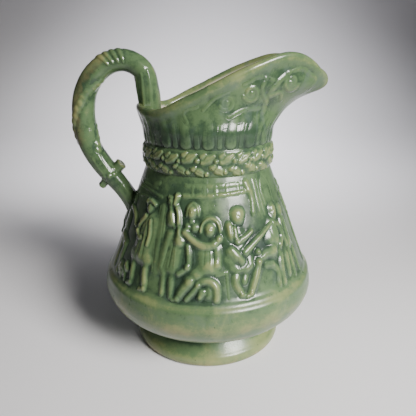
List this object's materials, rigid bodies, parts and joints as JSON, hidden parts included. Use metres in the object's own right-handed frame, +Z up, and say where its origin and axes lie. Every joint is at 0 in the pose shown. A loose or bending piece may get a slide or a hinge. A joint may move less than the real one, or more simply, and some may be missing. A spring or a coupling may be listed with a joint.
{
  "type": "pitcher",
  "caption": "Green-glazed relief pitcher: pedestal foot, bulging belly, tapering body with tavern figures, garland band, rising spout and a branch handle with twig knots.",
  "frame": {"origin": "centre of the foot's resting ring, on the surface that the pitcher stands on", "axes": "+Z up, +X towards the spout's tip, -X towards the handle, -Y the side with the modelled near frieze"},
  "size_m": [0.1669, 0.15, 0.2043],
  "materials": {
    "body_glaze": "glossy running green lead glaze, darker where it pools",
    "neck_glaze": "glossy green glaze outside, cream glaze inside",
    "foot_glaze": "glossy olive yellow glaze, thin on the edges",
    "branch_glaze": "glossy green glaze, yellow-olive on the ridges",
    "relief_glaze": "glossy green glaze, thin and yellow-olive on the high points"
  },
  "bodies": {
    "root": {"arched_window": "relief_glaze", "arched_window_far": "relief_glaze", "awning": "relief_glaze", "awning_far": "relief_glaze", "bench": "relief_glaze", "bench_far": "relief_glaze", "binding_cords": "branch_glaze", "body_shell": "body_glaze", "chin_man": "relief_glaze", "chin_man_far": "relief_glaze", "coated_man": "relief_glaze", "coated_man_far": "relief_glaze", "cup_raiser": "relief_glaze", "cup_raiser_far": "relief_glaze", "door_post": "relief_glaze", "door_post_far": "relief_glaze", "far_cheek_leaf": "relief_glaze", "far_scroll_1": "relief_glaze", "far_scroll_2": "relief_glaze", "far_scroll_3": "relief_glaze", "fiddler": "relief_glaze", "fiddler_far": "relief_glaze", "foot_ring": "foot_glaze", "garland_band": "relief_glaze", "handle_branch": "branch_glaze", "hat_man": "relief_glaze", "hat_man_far": "relief_glaze", "hound": "relief_glaze", "hound_far": "relief_glaze", "inner_twig": "branch_glaze", "large_petals": "relief_glaze", "leaf_strand_1": "branch_glaze", "leaf_strand_2": "branch_glaze", "listener": "relief_glaze", "listener_far": "relief_glaze", "lower_leaves": "relief_glaze", "lower_pad": "branch_glaze", "mantel": "relief_glaze", "mantel_far": "relief_glaze", "near_cheek_leaf": "relief_glaze", "near_scroll_1": "relief_glaze", "near_scroll_2": "relief_glaze", "near_scroll_3": "relief_glaze", "outer_twig": "branch_glaze", "pillar": "relief_glaze", "pillar_far": "relief_glaze", "seated_drinker": "relief_glaze", "seated_drinker_far": "relief_glaze", "small_petals": "relief_glaze", "spaniel": "relief_glaze", "spaniel_far": "relief_glaze", "spout": "neck_glaze", "spout_tree": "relief_glaze", "throat": "neck_glaze", "upper_leaves": "relief_glaze", "woman": "relief_glaze", "woman_far": "relief_glaze"}
  },
  "joints": []
}
